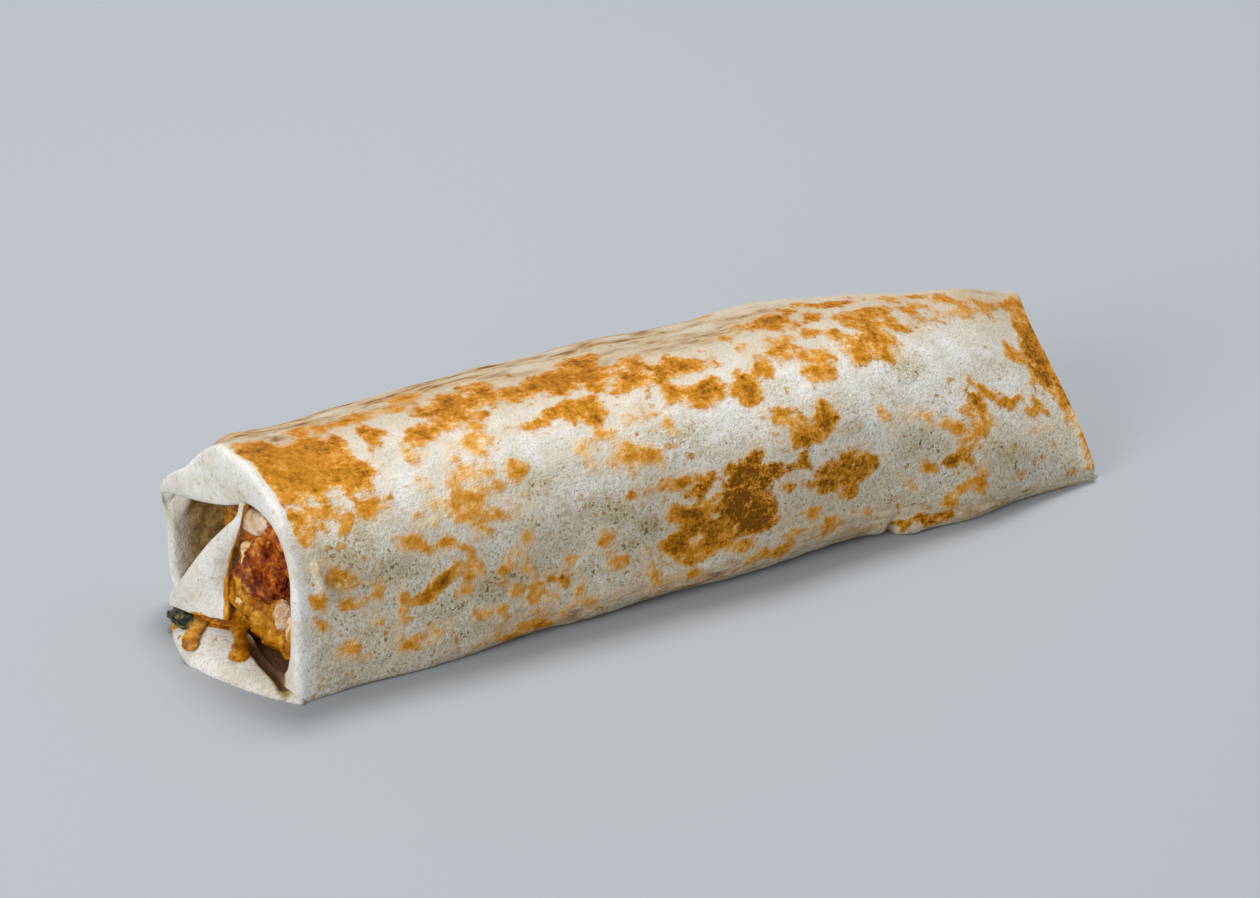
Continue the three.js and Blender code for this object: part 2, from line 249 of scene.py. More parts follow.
    relief = moist
    folds = add(tree, "Math", {0: streak, 1: creased}, operation="MULTIPLY")
    for raised, share in ((cover, 0.3), (fine, 0.25), (folds, 1.6)):
        relief = add(tree, "Math", {0: raised, 1: share, 2: relief}, operation="MULTIPLY_ADD")
    wire(tree, shader, {
        "Base Color": colour,
        "Roughness": add(tree, "MapRange", {0: sauced, 3: 0.62, 4: 0.3}),
        "Specular IOR Level": 0.1,
        "Normal": add(tree, "Bump", {"Height": relief, "Strength": 0.8, "Distance": 0.0009}),
    })
    return material


# Hot-sauce gravy over minced filling: wet and glossy, orange-yellow on its bumps as partly painted highlight,
# brown-red in the hollows as partly painted shade, all kept darker as painted shade from the rim, with fried
# crust and cream-coloured flecks showing through.
def sauceMaterial():
    material, tree, shader, place = newMaterial("hotSauceWet")
    blotch = add(tree, "TexNoise", {"Vector": place, "Scale": 1000 / 4.5, "Detail": 4, "Roughness": 0.6})
    fine = add(tree, "TexNoise", {"Vector": place, "Scale": 1000 / 1.1, "Detail": 4, "Roughness": 0.6})
    mixed = add(tree, "Math", {0: fine, 1: 0.5, 2: blotch}, operation="MULTIPLY_ADD")
    crust, cream, deep = (
        add(tree, "Attribute", {}, attribute_name=name).node.outputs["Fac"]
        for name in ("crust", "cream", "deep")
    )
    # both ramps follow the bump height: partly painted shade at their dark ends, partly painted highlight at
    # their pale ends
    gravy = [(0.52, "#682E02"), (0.66, "#925204"), (0.78, "#B3740A"), (0.92, "#D8A034")]
    colour = add(tree, "ValToRGB", {"Fac": mixed}, gravy)
    crusts = [(0.55, "#481201"), (0.67, "#7A2C02"), (0.78, "#A04C08"), (0.92, "#D08838")]
    crusty = add(tree, "ValToRGB", {"Fac": mixed}, crusts)
    crust = add(tree, "Math", {0: blotch, 1: 1.4, 2: crust}, operation="MULTIPLY_ADD")
    crust = add(tree, "MapRange", {0: crust, 1: 1.1, 2: 1.3})
    cream = add(tree, "Math", {0: fine, 1: 1.2, 2: cream}, operation="MULTIPLY_ADD")
    cream = add(tree, "MapRange", {0: cream, 1: 1, 2: 1.2})
    # the deep patches and the filling's foot are painted shade: near-black brown in the hollows, at the top
    # under the hood and in the gap beneath the filling
    for share, shade in ((crust, crusty), (cream, "#EFCF9C"), (deep, "#2C1205")):
        colour = add(tree, "Mix", {0: share, 6: colour, 7: shade}, data_type="RGBA")
    wire(tree, shader, {
        "Base Color": colour,
        "Roughness": 0.28,
        "Specular IOR Level": 0.3,
        "Specular Tint": "#FFD9A0",
        "Coat Weight": 0.08,
        "Coat Roughness": 0.15,
        "Subsurface Weight": 0.08,
        "Normal": add(tree, "Bump", {"Height": mixed, "Strength": 0.7, "Distance": 0.001}),
        **moistDepth,
    })
    return material


# Fried chicken in its coating: red-brown crust, dark in the cracks as partly painted shade, orange on the
# crags as partly painted highlight, with pale crumbs.
def crispMaterial():
    material, tree, shader, place = newMaterial("friedChickenCrisp")
    crag = add(tree, "TexNoise", {"Vector": place, "Scale": 1000 / 6, "Detail": 4, "Roughness": 0.6})
    fine = add(tree, "TexNoise", {"Vector": place, "Scale": 1000 / 1.2, "Detail": 3, "Roughness": 0.6})
    mixed = add(tree, "Math", {0: fine, 1: 0.5, 2: crag}, operation="MULTIPLY_ADD")
    cream = add(tree, "Attribute", {}, attribute_name="cream").node.outputs["Fac"]
    # the crust ramp follows the bump height: partly painted shade in the cracks, partly painted highlight on
    # the crags
    crusts = [(0.6, "#450F01"), (0.7, "#6E2402"), (0.78, "#8E3C06"), (0.87, "#B86A1C"), (0.96, "#DCA45A")]
    colour = add(tree, "ValToRGB", {"Fac": mixed}, crusts)
    cream = add(tree, "Math", {0: fine, 1: 1.2, 2: cream}, operation="MULTIPLY_ADD")
    cream = add(tree, "MapRange", {0: cream, 1: 1.05, 2: 1.3})
    wire(tree, shader, {
        "Base Color": add(tree, "Mix", {0: cream, 6: colour, 7: "#E8C88C"}, data_type="RGBA"),
        "Roughness": 0.3,
        "Specular IOR Level": 0.3,
        "Specular Tint": "#FFC480",
        "Normal": add(tree, "Bump", {"Height": mixed, "Strength": 1, "Distance": 0.0012}),
    })
    return material


# Cooked chicken breast: pale, moist and fibrous, stained by the sauce.
def paleMaterial():
    material, tree, shader, place = newMaterial("cookedChickenPale")
    fibre = add(tree, "TexNoise", {"Vector": place, "Scale": 1000 / 3.2, "Detail": 4, "Roughness": 0.6})
    fibres = [(0.3, "#B48452"), (0.45, "#C8A680"), (0.58, "#D0BAA0"), (0.7, "#D8C8B4")]
    wire(tree, shader, {
        "Base Color": add(tree, "ValToRGB", {"Fac": fibre}, fibres),
        "Roughness": 0.38,
        "Subsurface Weight": 0.12,
        "Normal": add(tree, "Bump", {"Height": fibre, "Strength": 0.6, "Distance": 0.0006}),
        **moistDepth,
    })
    return material


# Wilted salad leaf: nearly black, damp and thin, mottled with a paler olive that on its raised bumps is
# partly painted highlight.
def leafMaterial():
    material, tree, shader, place = newMaterial("saladLeafWilted")
    patch = add(tree, "TexNoise", {"Vector": place, "Scale": 1000 / 2.2, "Detail": 3, "Roughness": 0.6})
    # the paler olive follows the bump height: partly painted highlight
    greens = [(0.36, "#12140A"), (0.5, "#26270F"), (0.6, "#4C4A22"), (0.72, "#8E8250")]
    wire(tree, shader, {
        "Base Color": add(tree, "ValToRGB", {"Fac": patch}, greens),
        "Roughness": 0.3,
        "Normal": add(tree, "Bump", {"Height": patch, "Strength": 0.6, "Distance": 0.0005}),
    })
    return material


# Pale studio floor, matte.
def floorMaterial():
    material, tree, shader = newMaterial("paleFloor")[:3]
    wire(tree, shader, {"Base Color": "#9EA2A6", "Roughness": 0.7})
    return material


materials = {
    "tortilla": tortillaMaterial(),
    "sauce": sauceMaterial(),
    "crisp": crispMaterial(),
    "pale": paleMaterial(),
    "leaf": leafMaterial(),
    "floor": floorMaterial(),
}
print("materials made")

# the roll's section, as in the solids: front and back edges, top, crown, widest level and how square
# the upper front, upper back and lower front quarters are
rollPlan = {
    "openEnd": -118,
    "shutEnd": 122,
    "rimSlant": 0.06,
    "wall": 3.5,
    "sheet": 2.0,
    "gap": 0.7,
    "sag": 1.5,
    "shutRecess": 5,
    "cornerTip": 2.2,
    "squarest": 5,
    "tail": 5,
    "around": 208,
    "meanRadius": 32,
    "rimDepth": 6,
    "swell": (0.35, 0.3),
    "sections": [
        (-118, -30.2, 35, 56, 6, 24, 2.5, 1.25, 40),
        (-110.5, -30.4, 35, 55.2, 5, 24, 2.4, 1.78, 28),
        (-100, -30.8, 35, 53.8, 3.5, 24, 2.3, 2.1, 17),
        (-60, -32, 35, 55.2, 2, 24, 2.2, 2.3, 8),
        (-20, -33, 34.5, 54.8, 2, 23.5, 2.1, 2.3, 5.6),
        (20, -33, 34, 53.8, 2.5, 22.5, 2.1, 2.3, 6.2),
        (50, -31.5, 34, 53.6, 3, 20.5, 2, 2.3, 5.2),
        (62, -32.5, 34, 51.6, 4, 18, 1.9, 2.2, 9),
        (80, -33.5, 34, 48, 6, 14, 1.75, 2.1, 10),
        (100, -32, 34, 43.4, 9, 9, 1.5, 1.9, 8),
        (123, -30.5, 34, 37.3, 12.5, 3, 1.15, 1.5, 12),
    ],
}
sectionCache = {}


def sectionAt(x):  # a smooth curve through the sections, value by value
    keys = rollPlan["sections"]
    held = min(max(x, keys[0][0]), keys[-1][0] - 0.001)
    key = round(held, 4)
    if key in sectionCache:
        return sectionCache[key]
    i = max(k for k in range(len(keys) - 1) if keys[k][0] <= held)
    span = keys[i + 1][0] - keys[i][0]
    t = (held - keys[i][0]) / span
    eased = []
    for column in range(1, 9):
        slopes = []
        for k in (i, i + 1):
            before = keys[max(k - 1, 0)]
            after = keys[min(k + 1, len(keys) - 1)]
            slopes.append((after[column] - before[column]) / (after[0] - before[0]) * span)
        rise = keys[i + 1][column] - keys[i][column]
        bend = slopes[0] * t * (1 - t) ** 2 + slopes[1] * t * t * (t - 1)
        eased.append(keys[i][column] + rise * t * t * (3 - 2 * t) + bend)
    sectionCache[key] = eased
    return eased


def swell(x, turn):
    slow = math.sin(x / 19 + 2 * math.sin(turn))
    quick = math.sin(x / 8.5 + 3 * turn) * math.cos(x / 23 - turn)
    return rollPlan["swell"][0] * slow + rollPlan["swell"][1] * quick


def ease(value, low, high):
    t = min(max((value - low) / (high - low), 0), 1)
    return t * t * (3 - 2 * t)


def within(value, begins, full, fades, gone):  # 1 between full and fades, and easing to 0 on both sides
    return ease(value, begins, full) * (1 - ease(value, fades, gone))


def bell(value, width):
    return math.exp(-((value / width) ** 2))


def rollPoint(x, turn, inset=0.0, pull=1.0, lift=0.0):
    front, back, top, crown, waist, shoulder, spine, heel = sectionAt(x)
    c = math.cos(turn)
    h = math.sin(turn)
    deep = (back - crown if c > 0 else crown - front) - inset
    tall = (top - waist if h > 0 else waist + rollPlan["sag"]) - inset
    outside = (spine if c > 0 else shoulder) if h > 0 else (rollPlan["tail"] if c > 0 else heel)
    inside = min(outside, rollPlan["squarest"])
    power = outside + (inside - outside) * ease(inset, 0, rollPlan["wall"])
    square = (abs(c) ** power + abs(h) ** power) ** (-1 / power)
    across = Vector((deep * c * square, tall * h * square))
    grown = swell(x, turn) * (1 - ease(inset, 0, rollPlan["wall"])) + lift
    across *= 1 + grown / max(across.length, 0.001)
    across *= pull
    return Vector((x, crown + across.x, max(0, waist + across.y)))


def rimAt(y):
    return rollPlan["openEnd"] - rollPlan["rimSlant"] * (y - rollPlan["sections"][0][1])


def curveThrough(points, t):  # a smooth curve through the points, t from 0 to 1
    spans = len(points) - 1
    i = min(int(t * spans), spans - 1)
    f = t * spans - i
    a, b, c, d = (Vector(points[min(max(i + k, 0), spans)]) for k in (-1, 0, 1, 2))
    cubic = (3 * (b - c) + d - a) * f ** 3 + (2 * a - 5 * b + 4 * c - d) * f * f + (c - a) * f
    return b + 0.5 * cubic


def turnOutwards(bm):  # the operator alone can leave a craggy closed form inside out
    bmesh.ops.recalc_face_normals(bm, faces=bm.faces[:])
    if bm.calc_volume(signed=True) < 0:
        bmesh.ops.reverse_faces(bm, faces=bm.faces[:])


def ringAndTurn(place, rings):  # where a vertex of a new uvsphere lies: its ring from the top, and its turn
    ring = round(math.acos(max(-1, min(1, place.z))) / math.pi * rings)
    return ring, math.atan2(place.y, place.x) if 0 < ring < rings else 0


def toPiece(bm, name, material, node):
    mesh = bpy.data.meshes.new(name)
    bm.to_mesh(mesh)
    bm.free()
    piece = bpy.data.objects.new(name, mesh)
    scene.collection.objects.link(piece)
    for face in mesh.polygons:
        face.use_smooth = True
    mesh.materials.append(materials[material])
    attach(piece, "root")
    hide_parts(node)
    return piece


# the rim of the open end: a folded band all round, and over the top and back a hood bent down from it
hoodPlan = {
    "starts": 0.57 * math.pi,
    "ends": 0.045 * math.pi,
    "crown": 0.8,
    "lip": [
        (-117.8, -3, 43.6),
        (-119.4, 6, 39.6),
        (-120.8, 14, 37),
        (-121.8, 22, 34.8),
        (-122.6, 30, 32.6),
        (-122.8, 34.8, 30),
    ],
    "beak": Vector((-1.4, 0, 5.2)),
    "folds": [(1.5, 0.36, 0.08, 0.07), (-0.5, 0.56, 0, 0.12)],  # height, place along the lip, lean and width
}


def hoodShare(turn):  # 1 where the sheet is folded down into the hood, 0 where the rim is a plain band
    ends, starts = hoodPlan["ends"], hoodPlan["starts"]
    return within(turn, ends - 0.22, ends + 0.1, starts - 0.05, starts + 0.07) if abs(turn) < math.pi else 0


# how much deeper the folded band hangs into the opening, in mm: degrees round the rim, then depth
bandPlan = [(0, 0), (80, 0), (94, 8), (108, 8), (115, 6.6), (124, 4.8), (133, 3), (142, 1.3), (150, 0)]
bandPlan += [(163, 0), (172, 1.3), (200, 2), (217, 1.8), (228, 0), (360, 0)]


def rimPath(turn):  # the way of the sheet round the rim, from outside to inside, at one turn
    rimX = rimAt(rollPoint(rollPlan["openEnd"], turn).y)
    wall = rollPlan["wall"]
    inner = rimX + rollPlan["rimDepth"]
    deeper = float(np.interp(math.degrees(turn) % 360, *zip(*bandPlan))) / wall
    plain = [rollPoint(inner, turn), rollPoint(rimX + 3.2, turn)]
    for k in range(8):
        angle = math.pi * k / 7
        inset = wall / 2 * (1 - math.cos(angle)) * (1 + deeper * ease(k, 2, 7))
        plain.append(rollPoint(rimX + wall / 2 * (1 - math.sin(angle)), turn, inset))
    plain += [rollPoint(rimX + 3.2, turn, wall), rollPoint(inner, turn, wall)]
    share = hoodShare(turn)
    if share <= 0:
        return plain
    along = min(max((hoodPlan["starts"] - turn) / (hoodPlan["starts"] - hoodPlan["ends"]), 0), 1)
    lip = curveThrough(hoodPlan["lip"], along)
    brow = rollPoint(rimX - 1, turn, 0.8)
    if turn < hoodPlan["ends"]:
        lip.z += brow.z - rollPoint(rimX - 1, hoodPlan["ends"], 0.8).z
    brow.x = rimX - 0.4
    brow += hoodPlan["beak"] * ease(along, 0.45, 0.95)
    down = (lip - brow).normalized()
    back = Vector((1, 0, 0)) - down * down.x
    back.normalize()
    sheet = rollPlan["sheet"]
    hood = [rollPoint(inner, turn), rollPoint(rimX + 2.2, turn), rollPoint(rimX + 0.4, turn, 0.15)]
    for k in (0.08, 0.34, 0.66, 0.94):
        fold = sum(h * bell(along - at - lean * k, width) for h, at, lean, width in hoodPlan["folds"])
        hood.append(brow.lerp(lip, k) - back * (hoodPlan["crown"] - fold) * math.sin(math.pi * k))
    hood.append(lip + down * 0.5 + back * sheet / 2)
    for k in (0.9, 0.3):
        hood.append(brow.lerp(lip, k) + back * sheet)
    hood += [rollPoint(rimX + 3.6, turn, wall), rollPoint(inner, turn, wall)]
    return [a.lerp(b, share) for a, b in zip(plain, hood)]


# small unevenness of the outside: soft dents, blisters, wrinkles along the upper back and the lower front, a
# small peaked crease beside the rim, and a notch in the lower front edge with a swelling beside it
reliefPlan = {"dents": 0.55, "dentSize": 16, "blisters": 0.16, "blisterSize": 4.2, "wrinkles": 0.5}
creasePlan = {"at": -112.6, "turn": 157, "length": 20, "lean": 5.4, "height": 2.6, "widths": (3, 0.9)}
notchPlan = {"at": 56.5, "width": 1.4, "depth": 2.6, "swellAt": 62.5, "swellWidth": 4, "swellHeight": 0.9}


def reliefAt(x, turn):
    degrees = math.degrees(turn) % 360
    arc = turn * rollPlan["meanRadius"]
    size = reliefPlan["blisterSize"]
    dents = noise.noise(Vector((x / reliefPlan["dentSize"], math.cos(turn) * 2.2, math.sin(turn) * 2.2 + 4)))
    blisters = noise.noise(Vector((x / size, arc / size, 9)))
    wrinkles = noise.noise(Vector((x / 26, arc / 2.4, 2)))
    wrinkles *= within(degrees, 30, 62, 84, 100) + within(degrees, 196, 208, 222, 235)
    lift = reliefPlan["dents"] * dents + reliefPlan["blisters"] * blisters + reliefPlan["wrinkles"] * wrinkles
    rise = (degrees - creasePlan["turn"]) / creasePlan["length"]
    if -0.15 < rise < 1:
        across = x - creasePlan["at"] - creasePlan["lean"] * rise
        height = creasePlan["height"] * ease(rise, -0.15, 0.02) * (1 - rise) ** 0.8
        lift += height * bell(across, creasePlan["widths"][across > 0])
    notch = notchPlan["swellHeight"] * bell(x - notchPlan["swellAt"], notchPlan["swellWidth"])
    notch -= notchPlan["depth"] * bell(x - notchPlan["at"], notchPlan["width"])
    return lift + notch * within(degrees, 207, 222, 250, 265)


ringPlan = {"cap": 30, "body": 214, "rim": 40, "wall": 8, "inner": 4, "wallDepth": 26}


def rollStation(ring, turn):
    shut = rollPlan["shutEnd"]
    if ring <= ringPlan["cap"]:  # the tucked end, up to its folded edge
        return tuckedEnd(ring / ringPlan["cap"], turn)
    ring -= ringPlan["cap"]
    start = rimAt(rollPoint(rollPlan["openEnd"], turn).y) + rollPlan["rimDepth"]
    if ring <= ringPlan["body"]:
        hem = shut + cornerAt(turn) - tuckPlan["hemRadius"]
        x = hem + (start - hem) * ring / ringPlan["body"]
        return rollPoint(x, turn, lift=reliefAt(x, turn) * within(x, start - 2.5, start, shut - 4, shut))
    ring -= ringPlan["body"]
    if ring <= ringPlan["rim"]:
        return curveThrough(rimPath(turn), ring / ringPlan["rim"])
    ring -= ringPlan["rim"]
    if ring <= ringPlan["wall"]:
        return rollPoint(start + ringPlan["wallDepth"] * ring / ringPlan["wall"], turn, rollPlan["wall"])
    ring -= ringPlan["wall"]
    return rollPoint(start + ringPlan["wallDepth"], turn, rollPlan["wall"], 1 - ring / ringPlan["inner"])


def cornerAt(turn):  # how far the folded edge stands out at its upper and its lower front corner
    upper = 1.5 * bell(turn - 0.47 * math.pi, 0.26)
    return rollPlan["cornerTip"] * (upper + bell(turn + 0.75 * math.pi, 0.2))


# the shut end: both sides tucked in one over the other inside the folded edge
tuckPlan = {"hem": 0.86, "hemRadius": 1.2, "middle": (9, 13), "flapStep": 1.6, "creases": 0.5}


def tuckedEnd(out, turn):
    radius = tuckPlan["hemRadius"]
    edge = rollPlan["shutEnd"] + cornerAt(turn)
    if out > tuckPlan["hem"]:  # the folded edge itself, rounded over
        angle = (out - tuckPlan["hem"]) / (1 - tuckPlan["hem"]) * math.pi
        point = rollPoint(edge - radius, turn, radius * (1 + math.cos(angle)))
        point.x = edge - radius + radius * math.sin(angle)
        return point
    share = out / tuckPlan["hem"]
    point = Vector((edge, *tuckPlan["middle"])).lerp(rollPoint(edge - radius, turn, 2 * radius), share)
    flap = tuckPlan["flapStep"] * ease(point.z - 0.75 * point.y - 4, -0.8, 0.8)
    flap += tuckPlan["creases"] * noise.noise(Vector((point.y / 5, point.z / 5, 3)))
    point.x = edge - radius - rollPlan["shutRecess"] * (1 - share ** 3) + flap * (1 - share ** 4)
    return point


# browned patches as they lie on the roll: place along it in mm, place around it in degrees (90 is the crown,
# 180 the front), half-lengths in mm and degrees, tone from pale to dark, and a slant in mm per degree
toastPlan = {
    "grow": 0.4,
    "depth": 6,
    "blend": 1.2,
    "patches": [
        # beside the rim
        (-107, 100, 13, 12, 0.5), (-98, 108, 8, 21, 0.5), (-110, 117, 9, 12, 0.42),
        (-97, 121, 10.5, 9, 0.55), (-109, 125, 10, 6, 0.5), (-110, 137, 8, 5, 0.42),
        (-114, 143, 4, 5, 0.42, 0.2), (-102, 141, 2.5, 3.5, 0.35), (-93, 138, 3.6, 4, 0.4),
        (-83, 99, 2.2, 9, 0.5), (-106, 166, 3.6, 5.5, 0.5, 0.3), (-102, 178, 3, 2.5, 0.4, 0.3),
        (-112, 175, 1.4, 3.5, 0.35, 0.2), (-111.5, 157, 2.4, 2.2, 0.15, 0.2), (-105, 112, 14, 12, 0.45),
        (-111, 188, 1.8, 6, 0.5, 0.35), (-89, 191, 1.5, 9, 0.4), (-103, 207, 1.8, 2, 0.3),
        # along the upper back
        (-95, 83, 6, 3.5, 0.35), (-86, 84, 5, 4, 0.4), (-77, 85, 6, 2.5, 0.3), (-67, 78, 3, 4, 0.35),
        # the band over the crown
        (-57, 95, 9.5, 9, 0.5), (-49, 92, 4.5, 11, 0.55), (-63, 106, 8, 4, 0.5, -0.3),
        (-72, 111, 4.5, 5, 0.45), (-77, 117, 1.8, 3, 0.35), (-40, 99, 7, 6, 0.5), (-29, 97, 9, 8, 0.5),
        (-19, 86, 6, 7, 0.6), (-19, 100, 5, 9, 0.5), (-9, 98, 7, 5, 0.5), (-8, 110, 10, 6, 0.5),
        (3, 106, 8, 7, 0.55), (10, 110, 4, 3, 0.4, 0.4), (-37, 118, 8.5, 2.6, 0.5), (-28, 117, 6, 7.5, 0.5),
        (-1, 121, 5, 7, 0.45), (7, 123, 5.5, 6.5, 0.5), (-57, 113, 2, 2, 0.35), (-60, 121, 5, 3.6, 0.25),
        (-67, 125, 2, 2, 0.35),
        # soft patches over the middle of the front
        (-78, 134, 2, 3, 0.2), (-66, 135, 4, 5.5, 0.25), (-60.5, 136, 2.5, 3, 0.2),
        (-54, 138, 1.8, 4.5, 0.3), (-69, 145, 9, 6, 0.3), (-80, 149, 4, 4, 0.3, -0.2),
        (-70, 152, 3, 4.5, 0.35), (-82, 159, 3, 5.5, 0.35, 0.35), (-75, 164, 4, 3, 0.4, 0.8),
        (-66, 159, 2.6, 4.5, 0.4), (-56, 156, 1.6, 1.6, 0.35), (-25, 131, 2, 3, 0.25),
        (-16, 128, 2, 1.4, 0.35), (-11, 126, 1.5, 1, 0.35), (-33, 137, 2.6, 5, 0.2),
        (-20, 145, 7, 6.5, 0.3), (-13, 150, 1.8, 4, 0.3), (-8, 133, 1.5, 3, 0.25),
        # the dark cluster in the middle of the front
        (-9, 160.5, 7.5, 2, 0.5), (-3, 166, 2.5, 2.5, 0.75), (1, 170, 2, 4, 0.65), (-6, 176, 7.5, 4.5, 0.5),
        (-10, 194, 5, 9.5, 0.55), (-3, 188, 6, 9, 0.6), (-4, 200, 9, 6, 0.5), (12, 165, 8, 9, 0.85),
        (10, 180, 8, 11, 0.92), (14, 191, 6.5, 8, 0.88), (4, 179, 4, 9, 0.8), (3, 194, 6, 5, 0.6),
        (22.5, 174, 2, 2.6, 0.7), (27, 166, 3, 3, 0.8), (27, 176, 1.6, 3, 0.75), (33, 171, 3, 4, 0.65),
        (35, 180, 6, 7.5, 0.75), (41, 175, 6, 9, 0.7), (46, 174, 4.5, 8, 0.7, 0.1),
        (41.5, 188, 2.6, 5, 0.6), (30, 195, 3, 4, 0.4), (37, 208, 4, 3, 0.45), (8, 205, 4, 3.5, 0.5),
        (17, 213, 6, 3, 0.45), (24, 207, 2, 2, 0.4), (31, 153, 7.5, 6, 0.6, 0.2),
        (26, 147, 4.5, 6, 0.5, 0.2), (37, 148, 3.6, 7.5, 0.6),
        # over the crown towards the shut end
        (22, 94, 2.2, 1.8, 0.4), (32, 91, 4.6, 3, 0.5), (39.5, 93, 4.4, 7.5, 0.5), (49.5, 94, 3.4, 4, 0.6),
        (53, 83, 9, 3, 0.5), (61, 85, 3, 2.6, 0.6), (45, 102.5, 1.8, 1.6, 0.45),
        (26, 106, 2.6, 2, 0.4, -0.5), (36, 106, 3.6, 2.2, 0.4), (18, 126, 4.5, 6.5, 0.5),
        (24, 119, 5, 3, 0.45, -0.6), (33, 113, 6, 4.5, 0.5), (41, 117, 4.6, 4.5, 0.45, 0.5),
        (40, 127, 3.6, 6, 0.4), (67, 98, 9, 3.6, 0.5, -0.6), (66, 105, 10, 4.5, 0.5),
        (61, 113, 8.5, 7, 0.5), (54.5, 121, 4.5, 6, 0.5), (63, 120, 5, 5.5, 0.45),
        (49, 106.5, 3.5, 1.4, 0.4, 0.5), (80, 85.5, 9, 3.6, 0.45), (83, 96, 4.5, 1.8, 0.35),
        (94, 93, 3, 2, 0.35), (100, 101, 9, 2, 0.35), (110, 96, 8, 1.6, 0.4, -1.2),
        # towards the shut end, and along its folded edge
        (55, 154, 1.8, 4.5, 0.35), (67, 153.5, 4, 2.6, 0.25), (74, 155, 3, 3.6, 0.35, 0.3),
        (79, 161, 2.6, 4.5, 0.45, 0.3), (85, 151, 4, 5.5, 0.5), (86, 158, 4, 4, 0.45),
        (91, 142, 3.6, 2.6, 0.5, 0.8), (101, 148, 4.2, 2.2, 0.55, -1.2), (107, 152.5, 1.8, 1.4, 0.5),
        (106, 161, 1.5, 1.5, 0.4), (76.5, 172, 3.4, 4, 0.65, -0.4), (79.5, 166, 2.4, 2.6, 0.45),
        (67, 178, 1.5, 3, 0.4), (61.5, 190, 1.7, 5, 0.5), (76, 196, 2.6, 8, 0.4, -0.3),
        (82, 193, 1.8, 6, 0.4), (119, 108, 4, 9, 0.5), (118, 120, 6, 11, 0.62),
        (116, 134, 6, 9, 0.62, -0.1), (108, 124, 3, 5, 0.35), (120, 146, 3, 8, 0.5),
        (121.5, 158, 2.4, 9, 0.45), (122, 174, 2, 12, 0.4), (120, 98, 5, 5, 0.3),
        # the lower front and its bottom edge
        (-82, 186, 3, 4.5, 0.5, -0.4), (-77, 178, 3.4, 5, 0.45, -0.4), (-63, 206, 2, 2, 0.35),
        (-86, 209, 2, 1.5, 0.3), (-54, 183, 1.4, 5, 0.25, 0.2), (-51.5, 200, 1.6, 7, 0.3),
        (-45, 198, 1.2, 2.6, 0.55, 0.2), (-36.5, 184, 0.8, 1, 0.7), (-30.5, 195, 1.6, 6, 0.45, 0.1),
        (-20, 194, 1.6, 2.4, 0.4), (-19, 203, 0.9, 4, 0.35), (-43, 213, 7, 2.2, 0.35),
        # small spots scattered over the lower front
        (-103, 205, 2.4, 4, 0.3), (-97, 191, 1.6, 4, 0.3, 0.2), (-90, 203, 1.8, 3, 0.3),
        (-69, 176, 1.6, 4, 0.35, 0.2), (-59, 178, 2, 4, 0.25, -0.2), (-58, 198, 1.8, 4, 0.35, 0.2),
        (-65, 204, 2.4, 3, 0.3), (-48, 206, 2.4, 3, 0.35), (-39, 207, 2, 4, 0.4), (-41, 188, 1.6, 4, 0.3),
        (-28, 194, 2, 4, 0.35, 0.2), (-20, 207, 2.2, 3, 0.35), (-32, 180, 1.8, 3, 0.3),
        (-63, 154, 2, 4, 0.35), (-87, 156, 2, 3, 0.3, 0.2), (-54, 168, 1.6, 3, 0.25),
        (-72, 187, 1.6, 3, 0.35), (33, 204, 2.4, 3, 0.45), (45, 206, 2, 3, 0.4), (66, 178, 1.4, 2.5, 0.4),
        (84, 179, 1.6, 3, 0.35), (93, 190, 1.6, 3, 0.3), (-96, 176, 1.4, 2.5, 0.3),
        (-80, 207, 2.4, 3, 0.35),
        # the back, toasted more lightly
        (-88, 52, 9, 5, 0.4, 0.3), (-79, 44, 5, 6, 0.35), (-98, 30, 5, 4, 0.3), (-52, 38, 6, 7, 0.4, 0.2),
        (-44, 47, 4, 3, 0.35), (-30, 22, 6, 4, 0.3), (-14, 52, 10, 5, 0.45, 0.3), (-3, 44, 6, 6, 0.45),
        (14, 30, 5, 6, 0.35), (24, 58, 7, 4, 0.4, -0.3), (38, 40, 9, 6, 0.5), (48, 30, 4, 5, 0.4),
        (62, 55, 7, 4, 0.4, 0.3), (74, 26, 6, 5, 0.35), (86, 48, 8, 5, 0.45), (103, 35, 5, 5, 0.35),
        (112, 62, 5, 4, 0.35), (-66, 18, 4, 3, 0.3), (-108, 60, 4, 5, 0.35), (2, 14, 4, 3, 0.3),
        (-10, 214, 5, 2, 0.35), (-57, 219, 8, 2.4, 0.5), (66, 216, 9, 3, 0.7), (74, 204, 2, 3, 0.4),
    ],
    "wrinkles": [  # from and to along the roll, from and to around it, strength
        (-128, -24, 52, 90, 1), (-66, 30, 50, 80, 0.9), (-22, 54, 70, 99, 0.75), (-72, 22, 209, 238, 0.9),
        (18, 75, 201, 236, 0.85), (66, 124, 200, 236, 0.8), (98, 121, 60, 97, 0.6),
    ],
    "mottles": [  # places and half-lengths as above, and strength
        (-105, 158, 9, 12, 1), (-93, 168, 12, 11, 1), (-98, 150, 4, 12, 0.9), (-60, 189, 18, 15, 1.15),
        (-97, 196, 13, 10, 0.9), (-77, 196, 10, 12, 0.9), (-30, 166, 11, 10, 1.05), (-19, 178, 6, 8, 1.3),
        (-25, 186, 9, 9, 0.9), (-47, 146, 5, 7, 0.9), (-38, 198, 10, 8, 0.9), (-52, 163, 5, 6, 0.8),
        (67, 129, 7, 9, 0.7), (84, 104, 10, 4, 0.5), (66, 166, 13, 10, 0.75), (91, 172, 15, 10, 0.8),
